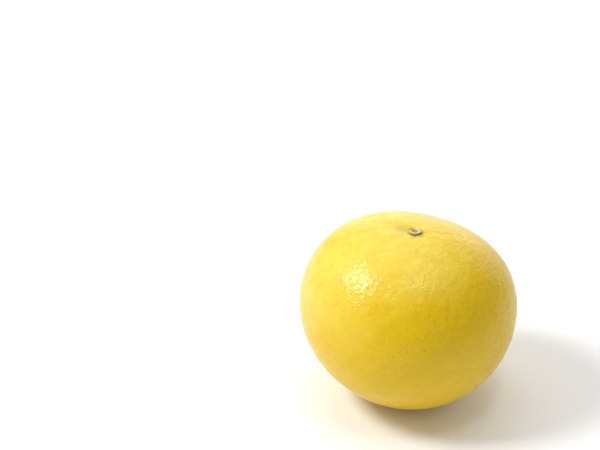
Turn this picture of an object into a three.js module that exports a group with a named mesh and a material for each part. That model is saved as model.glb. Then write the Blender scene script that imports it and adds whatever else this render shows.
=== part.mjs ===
// A whole yellow grapefruit with its stem button, resting on its blossom end.
// Millimetres, +Z up, origin on the resting surface at the middle of the fruit's bounding box.
// The fruit leans a little, so that its stem end points up and towards +X.
import * as THREE from 'three';
import { mergeVertices } from 'three/addons/utils/BufferGeometryUtils.js';

// Rind: the plain body of the fruit, before its swellings
const GIRTH_RADIUS = 53;
const STEM_HEIGHT = 45.5; // from the girth up to the stem end
const BLOSSOM_DEPTH = 48.5; // from the girth down to the blossom end
const STEM_FULLNESS = 0.83; // exponent of the profile: under 1 gives broad shoulders
const BLOSSOM_FULLNESS = 1.04; // over 1 gives a slightly tapered underside
const LEAN = 2.2; // degrees that the stem leans towards +X
const FLAT_DEPTH = 0.8; // how far the weight presses the rind flat underneath

// The fruit grew lopsided: each swelling lifts the rind, or sinks it, about one direction.
// Azimuth runs from +X towards +Y, elevation is above the girth, both in degrees.
const SWELLINGS = [
  { azimuth: 152, elevation: 30, rise: 5, spread: 0.6 },
  { azimuth: 12, elevation: 23, rise: 3, spread: 0.42 },
  { azimuth: 212, elevation: -34, rise: -1.2, spread: 0.5 },
];

// Stem end: a shallow basin, the creases that run out of it, and a level seat sunk in it for the button
const BASIN_DEPTH = 0.3;
const BASIN_RADIUS = 9;
const SEAT_DEPTH = 0.7; // below the floor of the basin
const SEAT_RADIUS = 3.6;
const SEAT_BLEND = 1.1; // width of the slope between the seat and the basin
const CREASE_START = 3.5; // distance from the stem at which a crease has opened
const CREASES = [
  { azimuth: 158, depth: 1.5, width: 28, reach: 18 },
  { azimuth: 2, depth: 0.7, width: 11, reach: 12 },
  { azimuth: 70, depth: 0.5, width: 16, reach: 11 },
  { azimuth: 212, depth: 0.4, width: 13, reach: 9 },
  { azimuth: 262, depth: 0.45, width: 12, reach: 9 },
  { azimuth: 318, depth: 0.55, width: 14, reach: 12 },
];

// Stem button: the dried calyx, and the stub of the stem sunk in a dish a little off its middle
const CALYX_RADIUS = 2.75; // between the lobes
const CALYX_HEIGHT = 1.3;
const LOBES = [
  { azimuth: 352, width: 30, reach: 0.55, lift: 0.2 }, // the broad one
  { azimuth: 58, width: 20, reach: 0.15, lift: 0.1 },
  { azimuth: 132, width: 20, reach: 0.1, lift: -0.4 },
  { azimuth: 196, width: 24, reach: 0.45, lift: -0.05 },
  { azimuth: 268, width: 24, reach: 0.1, lift: -0.05 },
];
const DISH_RADIUS = 1.25;
const DISH_AZIMUTH = 160;
const DISH_OFFSET = 0.4;
const DISH_FLOOR = 0.4; // thickness of the calyx under the stub
const STUB_RADIUS = 0.9;
const STUB_HEIGHT = 0.55;
const GAP = 0.3; // clearance between pieces that touch

// Mesh fineness
const AROUND = 96;
const ALONG = 66;
const POLE_CROWDING = 0.66; // draws the rings together towards the two ends
const BUTTON_AROUND = 60;

const radians = THREE.MathUtils.degToRad;
const smooth = THREE.MathUtils.smoothstep;
const STEM_AXIS = new THREE.Vector3(0, 0, 1);
const LEAN_AXIS = new THREE.Vector3(0, 1, 0);

function direction(azimuth, elevation) {
  const polar = Math.PI / 2 - radians(elevation);
  const up = new THREE.Vector3().setFromSphericalCoords(1, polar, radians(azimuth) + Math.PI / 2);
  return new THREE.Vector3(up.x, -up.z, up.y);
}

const swellings = SWELLINGS.map((s) => ({ ...s, towards: direction(s.azimuth, s.elevation) }));

// How much of something centred on one azimuth is felt at another: 1 at its middle, fading to 0 beside it.
function felt(azimuth, { azimuth: middle, width }) {
  const turn = azimuth - radians(middle);
  const off = Math.atan2(Math.sin(turn), Math.cos(turn)) / radians(width);
  return Math.exp(-off * off);
}

// How far the rind at a distance and an azimuth from the stem is drawn in by the basin and its creases.
function stemEndSink(distance, azimuth) {
  const opened = 1 - Math.exp(-((distance / CREASE_START) ** 4));
  let sink = BASIN_DEPTH * Math.exp(-((distance / BASIN_RADIUS) ** 2));
  for (const crease of CREASES) {
    sink += crease.depth * felt(azimuth, crease) * Math.exp(-((distance / crease.reach) ** 2)) * opened;
  }
  return sink;
}

// A point of the rind before the fruit leans: polar runs from 0 at the stem to PI at the blossom end.
function grownPoint(polar, azimuth) {
  const up = Math.cos(polar);
  const fullness = THREE.MathUtils.lerp(BLOSSOM_FULLNESS, STEM_FULLNESS, (1 + up) / 2);
  const radius = GIRTH_RADIUS * Math.sin(polar) ** fullness;
  const height = up * (up > 0 ? STEM_HEIGHT : BLOSSOM_DEPTH);
  const point = new THREE.Vector3(radius * Math.cos(azimuth), radius * Math.sin(azimuth), height);
  const outward = point.clone().normalize();
  for (const { towards, rise, spread } of swellings) {
    point.addScaledVector(outward, rise * Math.exp((outward.dot(towards) - 1) / spread ** 2));
  }
  return point;
}

const stemTip = grownPoint(0, 0);
const seatHeight = stemTip.z - BASIN_DEPTH - SEAT_DEPTH;

// The same point with the basin, the creases and the level seat of the stem end.
function rindPoint(polar, azimuth) {
  const point = grownPoint(polar, azimuth);
  if (polar > Math.PI / 2) return point;
  const x = point.x - stemTip.x;
  const y = point.y - stemTip.y;
  const distance = Math.hypot(x, y);
  point.z -= stemEndSink(distance, Math.atan2(y, x));
  const slope = smooth(distance, SEAT_RADIUS, SEAT_RADIUS + SEAT_BLEND);
  point.z = THREE.MathUtils.lerp(seatHeight, point.z, slope);
  return point;
}

// A closed ball whose points are moved, one by one, to where place(polar, azimuth) says.
function movedBall(place) {
  const ball = new THREE.SphereGeometry(1, AROUND, ALONG).rotateX(Math.PI / 2);
  ball.deleteAttribute('normal');
  ball.deleteAttribute('uv');
  const geometry = mergeVertices(ball);
  const position = geometry.getAttribute('position');
  for (let i = 0; i < position.count; i += 1) {
    const even = Math.acos(THREE.MathUtils.clamp(position.getZ(i), -1, 1));
    const polar = even - (POLE_CROWDING * Math.sin(2 * even)) / 2;
    const azimuth = Math.atan2(position.getY(i), position.getX(i));
    const point = place(THREE.MathUtils.clamp(polar, 0, Math.PI), azimuth);
    position.setXYZ(i, point.x, point.y, point.z);
  }
  return geometry;
}

// Leans the fruit, presses it flat where it rests, and stands it on the origin.
function settle(geometry) {
  geometry.rotateY(radians(LEAN));
  geometry.computeBoundingBox();
  const floor = geometry.boundingBox.min.z + FLAT_DEPTH;
  const middle = geometry.boundingBox.getCenter(new THREE.Vector3());
  const position = geometry.getAttribute('position');
  for (let i = 0; i < position.count; i += 1) {
    position.setZ(i, Math.max(position.getZ(i), floor));
  }
  const shift = new THREE.Vector3(-middle.x, -middle.y, -floor);
  geometry.translate(shift.x, shift.y, shift.z);
  geometry.computeVertexNormals();
  return shift;
}

// A turned piece about +Z from [radius, height] pairs that start and end on the axis.
function turned(profile) {
  const outline = profile.map(([radius, height]) => new THREE.Vector2(radius, height));
  return new THREE.LatheGeometry(outline, BUTTON_AROUND).rotateX(Math.PI / 2);
}

// The calyx: a low ring with a rounded rim, drawn out into uneven lobes, around an off-centre dish.
function calyxGeometry() {
  const rim = CALYX_RADIUS - DISH_RADIUS;
  const geometry = turned([
    [0, 0],
    [CALYX_RADIUS - 0.35, 0],
    [CALYX_RADIUS - 0.05, CALYX_HEIGHT * 0.25],
    [CALYX_RADIUS, CALYX_HEIGHT * 0.5],
    [CALYX_RADIUS - 0.12, CALYX_HEIGHT * 0.76],
    [CALYX_RADIUS - rim * 0.25, CALYX_HEIGHT * 0.93],
    [CALYX_RADIUS - rim * 0.5, CALYX_HEIGHT],
    [CALYX_RADIUS - rim * 0.75, CALYX_HEIGHT * 0.94],
    [DISH_RADIUS + 0.08, CALYX_HEIGHT * 0.8],
    [DISH_RADIUS, CALYX_HEIGHT * 0.6],
    [DISH_RADIUS, DISH_FLOOR],
    [0, DISH_FLOOR],
  ]);
  const position = geometry.getAttribute('position');
  for (let i = 0; i < position.count; i += 1) {
    const [x, y, z] = [position.getX(i), position.getY(i), position.getZ(i)];
    const outwards = smooth(Math.hypot(x, y), DISH_RADIUS, CALYX_RADIUS);
    const upwards = smooth(z, DISH_FLOOR, CALYX_HEIGHT);
    const azimuth = Math.atan2(y, x);
    const reach = LOBES.reduce((sum, lobe) => sum + lobe.reach * felt(azimuth, lobe), 0);
    const lift = LOBES.reduce((sum, lobe) => sum + lobe.lift * felt(azimuth, lobe), 0);
    const moved = direction(DISH_AZIMUTH, 0).multiplyScalar(DISH_OFFSET * (1 - outwards));
    const swell = 1 + (outwards * reach) / CALYX_RADIUS;
    position.setXYZ(i, x * swell + moved.x, y * swell + moved.y, z + upwards * lift);
  }
  geometry.computeVertexNormals();
  return geometry;
}

// The stub: what is left of the stem where the fruit was clipped, slightly domed.
function stubGeometry() {
  return turned([
    [0, 0],
    [STUB_RADIUS * 0.94, 0],
    [STUB_RADIUS, STUB_HEIGHT * 0.3],
    [STUB_RADIUS * 0.97, STUB_HEIGHT * 0.8],
    [STUB_RADIUS * 0.82, STUB_HEIGHT * 0.95],
    [0, STUB_HEIGHT],
  ]);
}

function piece(name, geometry, color, roughness) {
  const mesh = new THREE.Mesh(geometry, new THREE.MeshStandardMaterial({ color, roughness, metalness: 0 }));
  mesh.name = name;
  return mesh;
}

const fruitShape = movedBall(rindPoint);
const shift = settle(fruitShape);

// Pieces of the stem button stand on the seat, along the leaning stem axis.
function onSeat(mesh, lift, aside = 0) {
  const seat = direction(DISH_AZIMUTH, 0).multiplyScalar(aside);
  seat.add(new THREE.Vector3(stemTip.x, stemTip.y, seatHeight + lift));
  mesh.position.copy(seat.applyAxisAngle(LEAN_AXIS, radians(LEAN)).add(shift));
  mesh.quaternion.setFromUnitVectors(STEM_AXIS, STEM_AXIS.clone().applyAxisAngle(LEAN_AXIS, radians(LEAN)));
  return mesh;
}

const grapefruit = new THREE.Group();
grapefruit.add(piece('fruit', fruitShape, 0xe6c62b, 0.42));
grapefruit.add(onSeat(piece('calyx', calyxGeometry(), 0xc8b07a, 0.8), GAP));
const stub = piece('stem_stub', stubGeometry(), 0x9e8155, 0.9);
grapefruit.add(onSeat(stub, GAP + DISH_FLOOR + GAP, DISH_OFFSET));

export default grapefruit;
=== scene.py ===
# %% [markdown]
# # A whole yellow grapefruit
#
# A grapefruit is one thick, waxy rind with a dried stem button on top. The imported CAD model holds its
# size and its lopsided shape. This script builds the surfaces that the eye sees: a dimpled rind, the
# corky calyx and the snapped end of the stem. Everything is in metres, in the CAD model's own frame.

# %% Load the frame
import math

import bpy
from mathutils import Matrix, Vector


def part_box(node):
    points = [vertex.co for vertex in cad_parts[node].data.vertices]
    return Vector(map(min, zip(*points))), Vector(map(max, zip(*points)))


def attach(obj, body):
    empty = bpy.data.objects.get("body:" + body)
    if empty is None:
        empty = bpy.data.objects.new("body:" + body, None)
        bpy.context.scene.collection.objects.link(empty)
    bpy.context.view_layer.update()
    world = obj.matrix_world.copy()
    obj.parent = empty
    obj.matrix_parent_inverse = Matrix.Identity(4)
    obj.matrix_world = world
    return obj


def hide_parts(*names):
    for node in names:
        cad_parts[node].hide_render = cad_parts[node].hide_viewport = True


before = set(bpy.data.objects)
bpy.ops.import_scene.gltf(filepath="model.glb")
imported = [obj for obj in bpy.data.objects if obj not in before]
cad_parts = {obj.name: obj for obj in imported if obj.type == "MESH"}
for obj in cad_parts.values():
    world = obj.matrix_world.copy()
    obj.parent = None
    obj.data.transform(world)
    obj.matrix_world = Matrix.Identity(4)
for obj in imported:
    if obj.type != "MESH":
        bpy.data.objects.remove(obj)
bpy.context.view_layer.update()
MM = 0.001

fruit_low, fruit_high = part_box("fruit")
fruit_middle = (fruit_low + fruit_high) / 2
print("fruit, mm:", [round(side / MM, 1) for side in fruit_high - fruit_low])

# %% [markdown]
# Operators act on whatever is selected, and loading the frame leaves every CAD node selected. So each
# step starts by selecting one object and nothing else. A second helper picks vertices in code, by a test
# on their place, because there is no hand on the mouse.


# %% Selecting in code
def select_only(piece):
    bpy.ops.object.select_all(action="DESELECT")
    piece.select_set(True)
    bpy.context.view_layer.objects.active = piece


def edit(piece, wanted=None):
    """Opens a piece in edit mode with the vertices selected whose place passes a test, or all of them."""
    select_only(piece)
    bpy.ops.object.mode_set(mode="EDIT")
    bpy.ops.mesh.select_mode(type="VERT")
    bpy.ops.mesh.select_all(action="SELECT" if wanted is None else "DESELECT")
    if wanted is not None:
        bpy.ops.object.mode_set(mode="OBJECT")
        for vertex in piece.data.vertices:
            vertex.select = wanted(vertex.co)
        bpy.ops.object.mode_set(mode="EDIT")


def leave():
    bpy.ops.object.mode_set(mode="OBJECT")


def finish_modifier(piece, kind, **settings):
    select_only(piece)
    modifier = piece.modifiers.new(kind.lower(), kind)
    for setting, value in settings.items():
        setattr(modifier, setting, value)
    bpy.ops.object.modifier_apply(modifier=modifier.name)


# %% [markdown]
# ## Camera
#
# The fruit is seen from a little above, and it lies low and to the right in the view. A long lens keeps
# the perspective gentle. The camera is aimed beside the fruit instead of using lens shift, so that other
# views, which only move the camera, still hold the whole fruit.

# %% Place the camera
LENS = 100
SENSOR = 36
CAMERA_PITCH = math.radians(29.4)
CAMERA_DISTANCE = 0.85
SHARE_RIGHT = 0.18  # of the view's width, from its middle to the fruit
SHARE_BELOW = 0.1421  # of the view's width too
GIRTH_HEIGHT = 0.048

across = SHARE_RIGHT * SENSOR / LENS
below = SHARE_BELOW * SENSOR / LENS
right = Vector((1, 0, 0))
up = Vector((0, math.sin(CAMERA_PITCH), math.cos(CAMERA_PITCH)))
forward = Vector((0, math.cos(CAMERA_PITCH), -math.sin(CAMERA_PITCH)))
sight_line = (forward + across * right - below * up).normalized()
target = Vector((0, 0, GIRTH_HEIGHT))

bpy.ops.object.camera_add(
    location=target - sight_line * CAMERA_DISTANCE,
    rotation=(math.pi / 2 - CAMERA_PITCH, 0, 0),
)
camera = bpy.context.object
camera.data.lens = LENS
camera.data.sensor_width = SENSOR
bpy.context.scene.camera = camera
print("line of sight, degrees below level:", round(math.degrees(math.asin(-sight_line.z)), 1))

# %% [markdown]
# ## Materials start from a real finish
#
# Colours are written as sRGB hex values, as a colour picker shows them, and one function turns them to
# the linear numbers that a shader works with. One small function adds a node, so that a material reads
# as a list of what it is made of. What is the same all over, such as the roughness, is set on the
# shader itself.


# %% Colour, node and finish helpers
def linear(hex_colour):
    parts = [int(hex_colour[i : i + 2], 16) / 255 for i in (1, 3, 5)]
    return [p / 12.92 if p <= 0.04045 else ((p + 0.055) / 1.055) ** 2.4 for p in parts] + [1.0]


def add_node(tree, kind, links=None, inputs=None, **settings):
    node = tree.nodes.new(kind)
    for setting, value in settings.items():
        setattr(node, setting, value)
    for socket, value in (inputs or {}).items():
        node.inputs[socket].default_value = value
    for socket, source in (links or {}).items():
        tree.links.new(source, node.inputs[socket])
    return node


def new_material(name, finish):
    material = bpy.data.materials.new(name)
    material.use_nodes = True
    tree = material.node_tree
    surface = tree.nodes["Principled BSDF"]
    for socket, value in finish.items():
        surface.inputs[socket].default_value = value
    return material, tree, surface


# %% [markdown]
# ## Floor and light
#
# The floor is matt white card. One small softbox, high on the left, makes the bright side and the broken
# highlight, and a weak one overhead lights the shoulders. Three large ones stand behind the fruit, and
# brighten its upper edge, its right edge and the floor. A pale surround fills the shade.

# %% Floor
FLOOR_SIZE = 8
CARD_FINISH = {"Base Color": linear("#FCFCFC"), "Roughness": 0.9, "Specular IOR Level": 0.1}

bpy.ops.mesh.primitive_plane_add(size=FLOOR_SIZE, location=(0, 0, 0))
floor = bpy.context.object
floor.name = "floor"
floor.data.materials.append(new_material("white_card", CARD_FINISH)[0])
print("floor, m across:", FLOOR_SIZE)


# %% Softboxes and surround
def softbox(name, azimuth, elevation, distance, size, watts):
    """Azimuth 0 is in front of the fruit, 90 to its right, and -90 to its left."""
    turn, rise = math.radians(azimuth), math.radians(elevation)
    towards = Vector((math.sin(turn) * math.cos(rise), -math.cos(turn) * math.cos(rise), math.sin(rise)))
    bpy.ops.object.light_add(type="AREA", location=target + towards * distance)
    lamp = bpy.context.object
    lamp.name = name
    lamp.rotation_mode = "QUATERNION"
    lamp.rotation_quaternion = (-towards).to_track_quat("-Z", "Y")
    lamp.data.shape = "SQUARE"
    lamp.data.size = size
    lamp.data.energy = watts
    print(name, "stands at, m:", [round(side, 2) for side in lamp.location])


softbox("key", azimuth=-85, elevation=48, distance=1.0, size=0.31, watts=6.9)
softbox("top_back", azimuth=180, elevation=70, distance=1.2, size=1.0, watts=3.8)
softbox("low_back", azimuth=175, elevation=12, distance=1.3, size=0.9, watts=3.1)
softbox("overhead", azimuth=30, elevation=74, distance=1.0, size=0.2, watts=0.9)
softbox("right_back", azimuth=140, elevation=14, distance=1.2, size=0.8, watts=2.1)

SURROUND_STRENGTH = 0.41

world = bpy.data.worlds.new("pale_surround")
world.use_nodes = True
surround = world.node_tree.nodes["Background"]
surround.inputs["Color"].default_value = linear("#FFFFFF")
surround.inputs["Strength"].default_value = SURROUND_STRENGTH
bpy.context.scene.world = world
bpy.context.scene.view_settings.view_transform = "Standard"

# %% [markdown]
# ## The smooth form
#
# The CAD fruit is a ball of flat facets, which would show. A copy of it is merged into one closed mesh,
# its triangles are paired back into four-sided faces, and two levels of subdivision round it. Nothing
# shows this copy: it is the form that the rind is pulled down onto.

# %% Round the CAD form
MERGE_DISTANCE = 0.001 * MM
PAIRING_ANGLE = 0.7  # radians by which paired triangles may be out of flat, and their face out of square
FORM_LEVELS = 2

select_only(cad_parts["fruit"])
bpy.ops.object.duplicate()
form = bpy.context.object
form.name = "form"
edit(form)
bpy.ops.mesh.remove_doubles(threshold=MERGE_DISTANCE)
bpy.ops.mesh.tris_convert_to_quads(face_threshold=PAIRING_ANGLE, shape_threshold=PAIRING_ANGLE)
leave()
finish_modifier(form, "SUBSURF", levels=FORM_LEVELS, render_levels=FORM_LEVELS)
print("form faces:", len(form.data.polygons))

# %% [markdown]
# ## Where the stem was
#
# The stem button stands in a shallow basin on top, and leans with the fruit. The middle of its stub is
# known from the CAD model, and the axis of the button is a little beside it.

# %% Find the stem
LEAN = math.radians(2.2)
DISH_AZIMUTH = math.radians(160)
DISH_OFFSET = 0.4 * MM

stub_low, stub_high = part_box("stem_stub")
calyx_low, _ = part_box("calyx")
off_middle = Vector((math.cos(DISH_AZIMUTH), math.sin(DISH_AZIMUTH), 0)) * DISH_OFFSET
stem = (stub_low + stub_high) / 2 - off_middle
stem.z = calyx_low.z
print("foot of the stem axis, mm:", [round(side / MM, 2) for side in stem])


def from_stem(place):
    """Distance from the stem axis, and azimuth about it."""
    x, y = place.x - stem.x, place.y - stem.y
    return math.hypot(x, y), math.atan2(y, x)


# %% [markdown]
# ## The rind
#
# Dimples and wrinkles need faces of one even size all over, which a globe of latitude rings doesn't have.
# So the rind starts as a cube. Each round of subdivision is pressed back to a ball, which spreads the
# faces evenly. The stem end has finer detail than the rest, so the mesh is drawn together there, and
# then the ball is projected inwards onto the form.

# %% Make an even ball
BALL_RADIUS = 62 * MM
BALL_ROUNDS = 7

bpy.ops.object.select_all(action="DESELECT")
bpy.ops.mesh.primitive_cube_add(size=2 * BALL_RADIUS / math.sqrt(3), location=fruit_middle)
rind = bpy.context.object
rind.name = "rind"
edit(rind)
for _ in range(BALL_ROUNDS):
    bpy.ops.mesh.subdivide(number_cuts=1)
    bpy.ops.transform.tosphere(value=1)
leave()
print("rind faces:", len(rind.data.polygons))

# %% Draw the mesh together around the stem
CROWD_MIDDLE = 1.5 * MM  # the vertices this near the middle are scaled in full, the rest less and less
CROWD_REACH = 34 * MM
CROWD_SHARE = 0.35
FINE_RADIUS = 10 * MM

towards_stem = (stem - fruit_middle).normalized() * BALL_RADIUS
edit(rind, lambda place: (place - towards_stem).length < CROWD_MIDDLE)
bpy.ops.transform.resize(
    value=(CROWD_SHARE, CROWD_SHARE, CROWD_SHARE),
    center_override=fruit_middle + towards_stem,
    use_proportional_edit=True,
    proportional_edit_falloff="SMOOTH",
    proportional_size=CROWD_REACH,
)
leave()
finish_modifier(rind, "CAST", cast_type="SPHERE", factor=1, size=BALL_RADIUS, use_radius_as_size=False)
bpy.ops.object.transform_apply(location=True, rotation=True, scale=True)

# %% Project the ball onto the form
finish_modifier(
    rind,
    "SHRINKWRAP",
    target=form,
    wrap_method="PROJECT",
    use_negative_direction=True,
    use_positive_direction=False,
)
bpy.data.objects.remove(form)
print("rind, mm:", [round(side / MM, 1) for side in rind.dimensions])
fine = sum((vertex.co - stem).length < FINE_RADIUS for vertex in rind.data.vertices)
print("vertices within", FINE_RADIUS / MM, "mm of the stem:", fine)

# %% [markdown]
# Around the button the rind is puckered. It stands up in a low collar against the calyx, a faint ring
# shows where the calyx once reached, and thin wrinkles run outwards. Underneath, the scar of the flower
# is a small dent. Each is moved in the mesh with a proportional edit: the chosen vertices shift, and
# their neighbours follow less and less. That costs no faces, unlike cutting the shapes in.


# %% Pull a few vertices and let their neighbours follow
def pull(piece, wanted, shift, reach):
    edit(piece, wanted)
    bpy.ops.transform.translate(
        value=shift,
        use_proportional_edit=True,
        proportional_edit_falloff="SMOOTH",
        proportional_size=reach,
    )
    leave()


def near(azimuth, other, half_width):
    return abs(math.remainder(azimuth - other, math.tau)) < half_width


# %% Collar, faint ring and scar
STEM_END_DEPTH = 5 * MM  # how far below the calyx's foot the stem end reaches
RING_HALF_WIDTH = 0.12 * MM

COLLAR_RADIUS = 3.8 * MM
COLLAR_HEIGHT = 0.6 * MM
COLLAR_REACH = 1.5 * MM

FAINT_RADIUS = 5.9 * MM
FAINT_DEPTH = 0.25 * MM
FAINT_REACH = 0.7 * MM
FAINT_AZIMUTH = math.radians(285)
FAINT_HALF_WIDTH = math.radians(50)

SCAR = Vector((-0.8, -0.35, 0)) * MM
SCAR_RADIUS = 1 * MM
SCAR_DEPTH = 0.6 * MM
SCAR_REACH = 2 * MM


def at_stem_end(place):
    return place.z > stem.z - STEM_END_DEPTH


def on_ring(place, radius):
    return at_stem_end(place) and abs(from_stem(place)[0] - radius) < RING_HALF_WIDTH


def on_faint_ring(place):
    return on_ring(place, FAINT_RADIUS) and near(from_stem(place)[1], FAINT_AZIMUTH, FAINT_HALF_WIDTH)


pull(rind, lambda place: on_ring(place, COLLAR_RADIUS), (0, 0, COLLAR_HEIGHT), COLLAR_REACH)
pull(rind, on_faint_ring, (0, 0, -FAINT_DEPTH), FAINT_REACH)
pull(rind, lambda place: (place - SCAR).length < SCAR_RADIUS, (0, 0, SCAR_DEPTH), SCAR_REACH)

collar = [vertex.co.z for vertex in rind.data.vertices if on_ring(vertex.co, COLLAR_RADIUS)]
print("top of the collar, mm above the calyx's foot:", round((max(collar) - stem.z) / MM, 2))

# %% Wrinkles
WRINKLE_HALF_WIDTH = 0.16 * MM
WRINKLE_REACH = 0.8 * MM
WRINKLE_SWAY = 0.06  # radians to either side of a straight line from the stem
WRINKLES = [
    # azimuth in degrees, start and end in mm from the stem, depth in mm
    (4, 4.4, 16.0, 0.40),
    (38, 5.0, 8.5, 0.12),
    (96, 4.8, 8.0, 0.14),
    (128, 5.2, 9.5, 0.12),
    (163, 4.8, 13.0, 0.18),
    (186, 5.0, 8.5, 0.12),
    (232, 5.0, 8.0, 0.14),
    (334, 5.0, 9.5, 0.12),
]
SOFTENING = 0.5
SOFTENING_ROUNDS = 4


def in_wrinkle(place, wrinkle_azimuth, start, end):
    distance, azimuth = from_stem(place)
    sway = WRINKLE_SWAY * math.sin(distance / MM + wrinkle_azimuth)
    half_width = WRINKLE_HALF_WIDTH / max(distance, MM)
    on_line = near(azimuth, math.radians(wrinkle_azimuth) + sway, half_width)
    return at_stem_end(place) and start * MM < distance < end * MM and on_line


for azimuth, start, end, depth in WRINKLES:
    pull(rind, lambda place: in_wrinkle(place, azimuth, start, end), (0, 0, -depth * MM), WRINKLE_REACH)
print("wrinkles:", len(WRINKLES))

# A light smoothing takes the steps out of what was pulled.
finish_modifier(rind, "SMOOTH", factor=SOFTENING, iterations=SOFTENING_ROUNDS)

# %% [markdown]
# The rind isn't a perfect skin. It undulates over a few centimetres, and again over a few millimetres,
# where the flesh and the oil glands under it are uneven. That is real relief, so it is displaced into
# the mesh. The pits of the glands are about as small as the faces, and are left to the material. What
# sinks under the floor is pressed level again, as the fruit's own weight does.


# %% Relief of the rind
def relief(piece, size, depth, octaves):
    pattern = bpy.data.textures.new(f"{piece.name}_relief", "CLOUDS")
    pattern.noise_scale = size * MM
    pattern.noise_depth = octaves
    finish_modifier(
        piece, "DISPLACE", texture=pattern, texture_coords="LOCAL", strength=depth * MM, mid_level=0.5
    )


RIND_RELIEF = [
    # size and depth in mm, and rounds of finer detail
    (24, 0.30, 1),
    (6, 0.22, 0),
    (2.4, 0.24, 0),
]

for size, depth, octaves in RIND_RELIEF:
    relief(rind, size, depth, octaves)
edit(rind, lambda place: place.z < 0)
bpy.ops.transform.resize(value=(1, 1, 0), center_override=(0, 0, 0))
leave()
select_only(rind)
bpy.ops.object.shade_smooth()
print("rind with its relief, mm:", [round(side / MM, 2) for side in rind.dimensions])

# %% [markdown]
# ## The look of the rind
#
# Citrus rind is a living skin, washed and waxed before it is sold: satin, a little uneven, and with a
# clear shine on top. Its yellow carries painted light and shade: a paler lemon on top and on the left,
# where the key light falls, and a deeper gold lower down, in the shade. Noise alone could drive that, but
# then it would have no direction. So a slope towards the lit side carries it, and the noise only makes
# the slope wander. A second, smaller noise mottles it.

# %% Lemon, gold and mottling
PER_MM = (1 / MM, 1 / MM, 1 / MM)
RIND_FINISH = {"Roughness": 0.45, "IOR": 1.42, "Specular IOR Level": 0.1}
# Painted light: the yellow turns paler lemon towards this side, the lit upper left.
LIT_SIDE = (-0.4, 0.0, 0.9)
DRIFT_SIZE = 26
DRIFT_SHARE = 60
GOLD_UP_TO = 90.0  # along the slope, with its drift added
LEMON_FROM = 126.0
MOTTLE_SIZE = 5.5
MOTTLE_SHARES = {"From Min": 0.45, "From Max": 0.75, "To Max": 0.35}
LEMON = "#EBD250"
GOLD = "#E4BE00"
MOTTLE = "#D9AC10"

rind_look, tree, surface = new_material("waxed_citrus_rind", RIND_FINISH)
place = add_node(tree, "ShaderNodeTexCoord").outputs["Object"]
in_mm = add_node(tree, "ShaderNodeMapping", {"Vector": place}, {"Scale": PER_MM}).outputs["Vector"]

slope = add_node(
    tree, "ShaderNodeVectorMath", {0: in_mm}, {1: LIT_SIDE}, operation="DOT_PRODUCT"
).outputs["Value"]
drift = add_node(
    tree, "ShaderNodeTexNoise", {"Vector": in_mm}, {"Scale": 1 / DRIFT_SIZE, "Detail": 2.0}
).outputs["Fac"]
level = add_node(
    tree, "ShaderNodeMath", {0: drift, 2: slope}, {1: DRIFT_SHARE}, operation="MULTIPLY_ADD"
).outputs["Value"]
# Painted light and shade: the share of lit lemon over shaded gold.
painted_light_share = add_node(
    tree, "ShaderNodeMapRange", {"Value": level}, {"From Min": GOLD_UP_TO, "From Max": LEMON_FROM}
).outputs["Result"]
yellow = add_node(
    tree, "ShaderNodeMix", {"Factor": painted_light_share}, {"A": linear(GOLD), "B": linear(LEMON)}, data_type="RGBA"
).outputs["Result"]

mottle = add_node(
    tree, "ShaderNodeTexNoise", {"Vector": in_mm}, {"Scale": 1 / MOTTLE_SIZE, "Detail": 3.0}
).outputs["Fac"]
mottle_share = add_node(
    tree, "ShaderNodeMapRange", {"Value": mottle}, MOTTLE_SHARES
).outputs["Result"]
colour = add_node(
    tree, "ShaderNodeMix", {"Factor": mottle_share, "A": yellow}, {"B": linear(MOTTLE)}, data_type="RGBA"
).outputs["Result"]
print("nodes for the yellow:", len(tree.nodes))

# %% [markdown]
# Two kinds of dot lie in the yellow: the oil glands, which are close together and only a little deeper,
# and a few russet specks from growing on the tree. Both come from Voronoi cells, whose distance is
# nothing at the middle of each dot. The glands are a millimetre and a half apart.

# %% Glands and specks
GLAND_SPACING = 1.5
SPECK_SPACING = 13
GLAND_EDGES = (0.05, 0.45)  # of its full colour and of its fading, as shares of the spacing
GLAND_STRENGTH = 0.22
GLAND_COLOUR = "#C79A08"
SPECK_EDGES = (0.01, 0.07)
SPECK_STRENGTH = 0.50
SPECK_COLOUR = "#8F5F1E"


def dab(colour, distance, edges, strength, hex_colour):
    """Lays a soft-edged colour over another, strongest inside the first edge and gone at the second."""
    share = add_node(
        tree,
        "ShaderNodeMapRange",
        {"Value": distance},
        {"From Min": edges[0], "From Max": edges[1], "To Min": strength, "To Max": 0.0},
        interpolation_type="SMOOTHSTEP",
    ).outputs["Result"]
    return add_node(
        tree, "ShaderNodeMix", {"Factor": share, "A": colour}, {"B": linear(hex_colour)}, data_type="RGBA"
    ).outputs["Result"]


gland_distance, speck_distance = [
    add_node(tree, "ShaderNodeTexVoronoi", {"Vector": in_mm}, {"Scale": 1 / spacing}).outputs["Distance"]
    for spacing in (GLAND_SPACING, SPECK_SPACING)
]
colour = dab(colour, gland_distance, GLAND_EDGES, GLAND_STRENGTH, GLAND_COLOUR)
colour = dab(colour, speck_distance, SPECK_EDGES, SPECK_STRENGTH, SPECK_COLOUR)
print("nodes with the dots:", len(tree.nodes))

# %% [markdown]
# Three places differ from the rest. Around the calyx the rind keeps some green, and is darker there as
# painted shade in the crevice. The hollow beside it is painted a dull tan, which is painted shade, and
# underneath is the small brown scar of the flower. Each is a soft round spot, measured from a point on
# the fruit, so that it stays where it is however the noise falls.

# %% Spots
# Painted shade: the hollow beside the button is darkened to a dull tan.
HOLLOW_SHADE = stem + Vector((-5.5, 2.5, 1.0)) * MM
SPOTS = [
    # middle, inner and outer radius in mm, strength, colour
    # The rind's own green, darkened further as painted shade in the crevice round the calyx.
    (stem, (3.5, 5.2), 0.8, "#A69A2A"),
    (HOLLOW_SHADE, (1.0, 7.0), 0.55, "#B89E3E"),
    (SCAR, (0.6, 2.6), 0.75, "#8A6A2C"),
]

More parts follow.
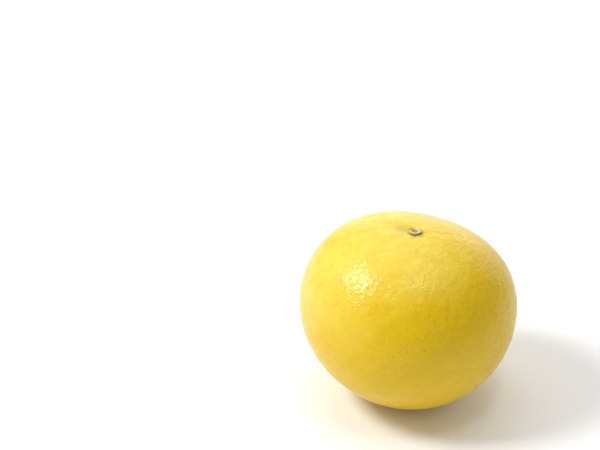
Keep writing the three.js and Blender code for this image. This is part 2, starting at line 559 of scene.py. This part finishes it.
for middle, edges, strength, hex_colour in SPOTS:
    from_middle = add_node(
        tree,
        "ShaderNodeMapping",
        {"Vector": place},
        {"Location": tuple(-middle / MM), "Scale": PER_MM},
    ).outputs["Vector"]
    distance = add_node(
        tree, "ShaderNodeVectorMath", {0: from_middle}, operation="LENGTH"
    ).outputs["Value"]
    colour = dab(colour, distance, edges, strength, hex_colour)
tree.links.new(colour, surface.inputs["Base Color"])
print("nodes with the spots:", len(tree.nodes))

# %% [markdown]
# The skin is smooth enough for a soft highlight, which its pits and creases break into short bright
# strokes. Three bumps do that: a fine grain, a pit at every gland, and twisted noise for the creases
# between them. The wax is a thin clear coat. It needs the bumps too, or its highlight would stay whole.

# %% Pits, creases and wax
GRAIN_SIZE = 0.45
GRAIN_DEPTH = 0.02
PIT_DEPTH = 0.08
CREASE_SIZE = 2.2
CREASE_TWIST = 1.6
CREASE_DEPTH = 0.19
WAX_WEIGHT = 0.56
WAX_ROUGHNESS = 0.17

grain = add_node(
    tree, "ShaderNodeTexNoise", {"Vector": in_mm}, {"Scale": 1 / GRAIN_SIZE, "Detail": 2.0}
).outputs["Fac"]
pit = add_node(
    tree,
    "ShaderNodeMapRange",
    {"Value": gland_distance},
    {"From Min": GLAND_EDGES[0], "From Max": GLAND_EDGES[1]},
    interpolation_type="SMOOTHSTEP",
).outputs["Result"]
creases = add_node(
    tree,
    "ShaderNodeTexNoise",
    {"Vector": in_mm},
    {"Scale": 1 / CREASE_SIZE, "Detail": 1.0, "Distortion": CREASE_TWIST},
).outputs["Fac"]

normal_so_far = {}
for pattern, depth in ((grain, GRAIN_DEPTH), (pit, PIT_DEPTH), (creases, CREASE_DEPTH)):
    normal = add_node(
        tree,
        "ShaderNodeBump",
        {"Height": pattern, **normal_so_far},
        {"Distance": depth * MM, "Strength": 1.0},
    ).outputs["Normal"]
    normal_so_far = {"Normal": normal}
tree.links.new(normal, surface.inputs["Normal"])
tree.links.new(normal, surface.inputs["Coat Normal"])
surface.inputs["Coat Weight"].default_value = WAX_WEIGHT
surface.inputs["Coat Roughness"].default_value = WAX_ROUGHNESS
print("nodes in the whole rind:", len(tree.nodes))

rind.data.materials.clear()
rind.data.materials.append(rind_look)
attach(rind, "root")
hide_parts("fruit")

# %% [markdown]
# ## The calyx
#
# Under the stem the flower left its calyx, which dries to a low corky ring with five uneven lobes. It
# could be carved from a torus, but then its inner and outer walls would be alike. Drawing one circle
# outwards, over the rim and down into the dish, ring by ring, gives each wall its own slope.

# %% Draw a turned piece up from a circle
stem_axis = Matrix.Rotation(LEAN, 3, "Y") @ Vector((0, 0, 1))


def circle_on_stem(name, around, radius, height=0):
    """A round face across the stem axis, with its radius and its height in mm."""
    bpy.ops.object.select_all(action="DESELECT")
    bpy.ops.mesh.primitive_circle_add(
        vertices=around,
        radius=radius * MM,
        fill_type="NGON",
        location=stem + stem_axis * height * MM,
        rotation=(0, LEAN, 0),
    )
    piece = bpy.context.object
    piece.name = name
    return piece


def draw_up(profile, radius, height=0):
    """Extrudes the selected face along the stem axis, and grows or shrinks it, ring by ring."""
    for next_radius, next_height in profile:
        rise = stem_axis * (next_height - height) * MM
        growth = next_radius / radius
        bpy.ops.mesh.extrude_region_move(TRANSFORM_OT_translate={"value": rise})
        bpy.ops.transform.resize(
            value=(growth, growth, growth), center_override=stem + stem_axis * next_height * MM
        )
        radius, height = next_radius, next_height


def face_outwards(piece):
    """Applies the piece's place to its mesh, and turns every face outwards."""
    select_only(piece)
    bpy.ops.object.transform_apply(location=True, rotation=True, scale=True)
    edit(piece)
    bpy.ops.mesh.normals_make_consistent(inside=False)
    leave()


# %% The calyx ring
RING_AROUND = 48
FOOT_RADIUS = 2.45
RING_PROFILE = [
    # radius and height of each ring after the foot, in mm
    (2.64, 0.28),
    (2.76, 0.60),
    (2.70, 0.92),
    (2.46, 1.16),
    (2.12, 1.26),
    (1.78, 1.20),
    (1.50, 1.02),
    (1.32, 0.78),
    (1.24, 0.54),
    (1.20, 0.40),
]
DISH_INSETS = (0.5, 0.4)  # mm, to close the floor of the dish with smaller faces

calyx = circle_on_stem("calyx_ring", RING_AROUND, FOOT_RADIUS)
edit(calyx)
draw_up(RING_PROFILE, FOOT_RADIUS)
for inset in DISH_INSETS:
    bpy.ops.mesh.inset(thickness=inset * MM)
leave()
face_outwards(calyx)
print("calyx faces:", len(calyx.data.polygons))

# %% [markdown]
# The five lobes are pulled out of the ring by proportional moves, one of them much broader than the
# rest, and the dish is pushed a little off the middle. Then one subdivision gives enough vertices to
# press a few cracks across the rim, where the cork split as it dried.

# %% Lobes and dish
LOBE_START = 2.4 * MM  # from the stem axis
LOBE_FOOT = 0.4 * MM  # above the calyx's foot
LOBE_HALF_WIDTH = 0.2  # radians
LOBE_REACH = 1.5 * MM
LOBES = [
    # azimuth in degrees, reach outwards and lift in mm
    (352, 0.50, 0.22),
    (58, 0.15, 0.12),
    (132, 0.00, -0.90),
    (196, 0.45, -0.05),
    (268, 0.10, -0.05),
]
DISH_EDGE = 1.35 * MM
DISH_REACH = 1.1 * MM


def on_lobe(place, lobe_azimuth):
    distance, azimuth = from_stem(place)
    on_rim = distance > LOBE_START and place.z > stem.z + LOBE_FOOT
    return on_rim and near(azimuth, lobe_azimuth, LOBE_HALF_WIDTH)


for azimuth, reach, lift in LOBES:
    turn = math.radians(azimuth)
    shift = Vector((math.cos(turn) * reach, math.sin(turn) * reach, lift)) * MM
    pull(calyx, lambda place: on_lobe(place, turn), shift, LOBE_REACH)
pull(calyx, lambda place: from_stem(place)[0] < DISH_EDGE, off_middle, DISH_REACH)
print("calyx with its lobes, mm:", [round(side / MM, 2) for side in calyx.dimensions])

# %% Cracks and cork
CRACK_FOOT = 0.7 * MM  # above the calyx's foot
CRACK_HALF_WIDTH = 0.05  # radians
CRACK_REACH = 0.3 * MM
CRACKS = [
    # azimuth in degrees, start and end from the stem and depth in mm
    (4, 1.2, 2.7, 0.34),
    (96, 1.4, 2.6, 0.22),
    (146, 1.2, 2.9, 0.30),
    (226, 1.5, 2.8, 0.20),
    (305, 1.4, 3.1, 0.24),
]


def in_crack(place, crack_azimuth, start, end):
    distance, azimuth = from_stem(place)
    on_line = near(azimuth, math.radians(crack_azimuth), CRACK_HALF_WIDTH)
    return place.z > stem.z + CRACK_FOOT and start * MM < distance < end * MM and on_line


finish_modifier(calyx, "SUBSURF", levels=1, render_levels=1)
for azimuth, start, end, depth in CRACKS:
    pull(calyx, lambda place: in_crack(place, azimuth, start, end), (0, 0, -depth * MM), CRACK_REACH)
finish_modifier(calyx, "SUBSURF", levels=2, render_levels=2)
relief(calyx, size=0.9, depth=0.22, octaves=1)
relief(calyx, size=0.3, depth=0.1, octaves=1)
select_only(calyx)
bpy.ops.object.shade_smooth()
print("calyx faces, finished:", len(calyx.data.polygons))

# %% [markdown]
# Dried calyx is dead, corky tissue: dull, and still olive at its foot, where it joins the living rind.
# Its colour follows the height, and is partly painted light and shade: cream on top, and a darker tan
# low down, in its cracks and in the dish. A fine noise makes it uneven.

# %% Dried corky calyx
CORK_FINISH = {"Roughness": 0.85, "IOR": 1.4}
CORK_GRAINS_PER_MM = 2.2
CORK_GRAIN_DEPTH = 0.08 * MM
UNEVENNESS = 0.9  # mm of height that the noise is worth
OLIVE_UP_TO = 0.4  # mm above the foot, with the noise added
CREAM_FROM = 1.85
CORK_AND_SHADE_COLOURS = [(0.35, "#A4955A"), (0.65, "#C8B07A"), (0.82, "#DBC592")]


def calyx_material():
    material, tree, surface = new_material("dried_corky_calyx", CORK_FINISH)
    place = add_node(tree, "ShaderNodeTexCoord").outputs["Object"]
    from_foot = add_node(
        tree, "ShaderNodeMapping", {"Vector": place}, {"Location": tuple(-stem / MM), "Scale": PER_MM}
    ).outputs["Vector"]
    height = add_node(tree, "ShaderNodeSeparateXYZ", {"Vector": from_foot}).outputs["Z"]
    grain = add_node(
        tree, "ShaderNodeTexNoise", {"Vector": from_foot}, {"Scale": CORK_GRAINS_PER_MM, "Detail": 4.0}
    ).outputs["Fac"]
    level = add_node(
        tree, "ShaderNodeMath", {0: grain, 2: height}, {1: UNEVENNESS}, operation="MULTIPLY_ADD"
    ).outputs["Value"]
    share = add_node(
        tree, "ShaderNodeMapRange", {"Value": level}, {"From Min": OLIVE_UP_TO, "From Max": CREAM_FROM}
    ).outputs["Result"]
    # The cork's colour with painted light and shade: olive and darker tan low down, in the dish and
    # cracks, cream on top.
    ramp = add_node(tree, "ShaderNodeValToRGB", {"Fac": share})
    ramp.color_ramp.elements[0].color = linear("#9C9448")
    ramp.color_ramp.elements[1].color = linear("#E6D4A6")
    for position, hex_colour in CORK_AND_SHADE_COLOURS:
        ramp.color_ramp.elements.new(position).color = linear(hex_colour)
    tree.links.new(ramp.outputs["Color"], surface.inputs["Base Color"])
    bump = add_node(
        tree, "ShaderNodeBump", {"Height": grain}, {"Distance": CORK_GRAIN_DEPTH, "Strength": 1.0}
    ).outputs["Normal"]
    tree.links.new(bump, surface.inputs["Normal"])
    return material


calyx.data.materials.clear()
calyx.data.materials.append(calyx_material())
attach(calyx, "root")
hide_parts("calyx")

# %% [markdown]
# ## The stem plug
#
# What is left of the stem is a plug of dark wood in the dish. It was snapped, not sawn, so its face is
# rough, with a hollow where the pith was. It is drawn up in the same way as the calyx, and one cloud
# pattern roughens it all over.

# %% Snapped stem
PLUG_AROUND = 24
PLUG_RADIUS = 1.12
PLUG_FOOT = 0.45
PLUG_PROFILE = [(1.16, PLUG_FOOT + 0.15), (1.1, PLUG_FOOT + 0.32), (0.9, PLUG_FOOT + 0.42)]
FACE_INSETS = (0.3, 0.3)
PITH_DEPTH = 0.15
PITH_INSET = 0.15

plug = circle_on_stem("stem_plug", PLUG_AROUND, PLUG_RADIUS, PLUG_FOOT)
edit(plug)
draw_up(PLUG_PROFILE, PLUG_RADIUS, PLUG_FOOT)
for inset in FACE_INSETS:
    bpy.ops.mesh.inset(thickness=inset * MM)
bpy.ops.transform.translate(value=(0, 0, -PITH_DEPTH * MM))
bpy.ops.mesh.inset(thickness=PITH_INSET * MM)
leave()
face_outwards(plug)
edit(plug)
bpy.ops.transform.translate(value=off_middle)
leave()
finish_modifier(plug, "SUBSURF", levels=3, render_levels=3)
relief(plug, size=0.4, depth=0.2, octaves=2)
select_only(plug)
bpy.ops.object.shade_smooth()
print("plug faces:", len(plug.data.polygons))

# %% [markdown]
# Stem wood that snapped and dried is matt, with pale fibre ends and dark gaps between them. The fibres
# are too fine to show one by one, so they are drawn as coarse as they need to be to speckle the wood.

# %% Stem wood
WOOD_FINISH = {"Roughness": 0.9}
FIBRES_PER_MM = 3.5
FIBRE_DEPTH = 0.08 * MM
FIBRE_COLOURS = [(0.35, "#745C34"), (0.7, "#CBA87A")]


def stem_material():
    material, tree, surface = new_material("dry_stem_wood", WOOD_FINISH)
    place = add_node(tree, "ShaderNodeTexCoord").outputs["Object"]
    in_mm = add_node(
        tree, "ShaderNodeMapping", {"Vector": place}, {"Scale": PER_MM}
    ).outputs["Vector"]
    fibre = add_node(
        tree, "ShaderNodeTexNoise", {"Vector": in_mm}, {"Scale": FIBRES_PER_MM, "Detail": 4.0}
    ).outputs["Fac"]
    ramp = add_node(tree, "ShaderNodeValToRGB", {"Fac": fibre})
    for stop, (position, hex_colour) in zip(ramp.color_ramp.elements, FIBRE_COLOURS):
        stop.position = position
        stop.color = linear(hex_colour)
    tree.links.new(ramp.outputs["Color"], surface.inputs["Base Color"])
    bump = add_node(
        tree, "ShaderNodeBump", {"Height": fibre}, {"Distance": FIBRE_DEPTH, "Strength": 1.0}
    ).outputs["Normal"]
    tree.links.new(bump, surface.inputs["Normal"])
    return material


plug.data.materials.clear()
plug.data.materials.append(stem_material())
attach(plug, "root")
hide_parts("stem_stub")
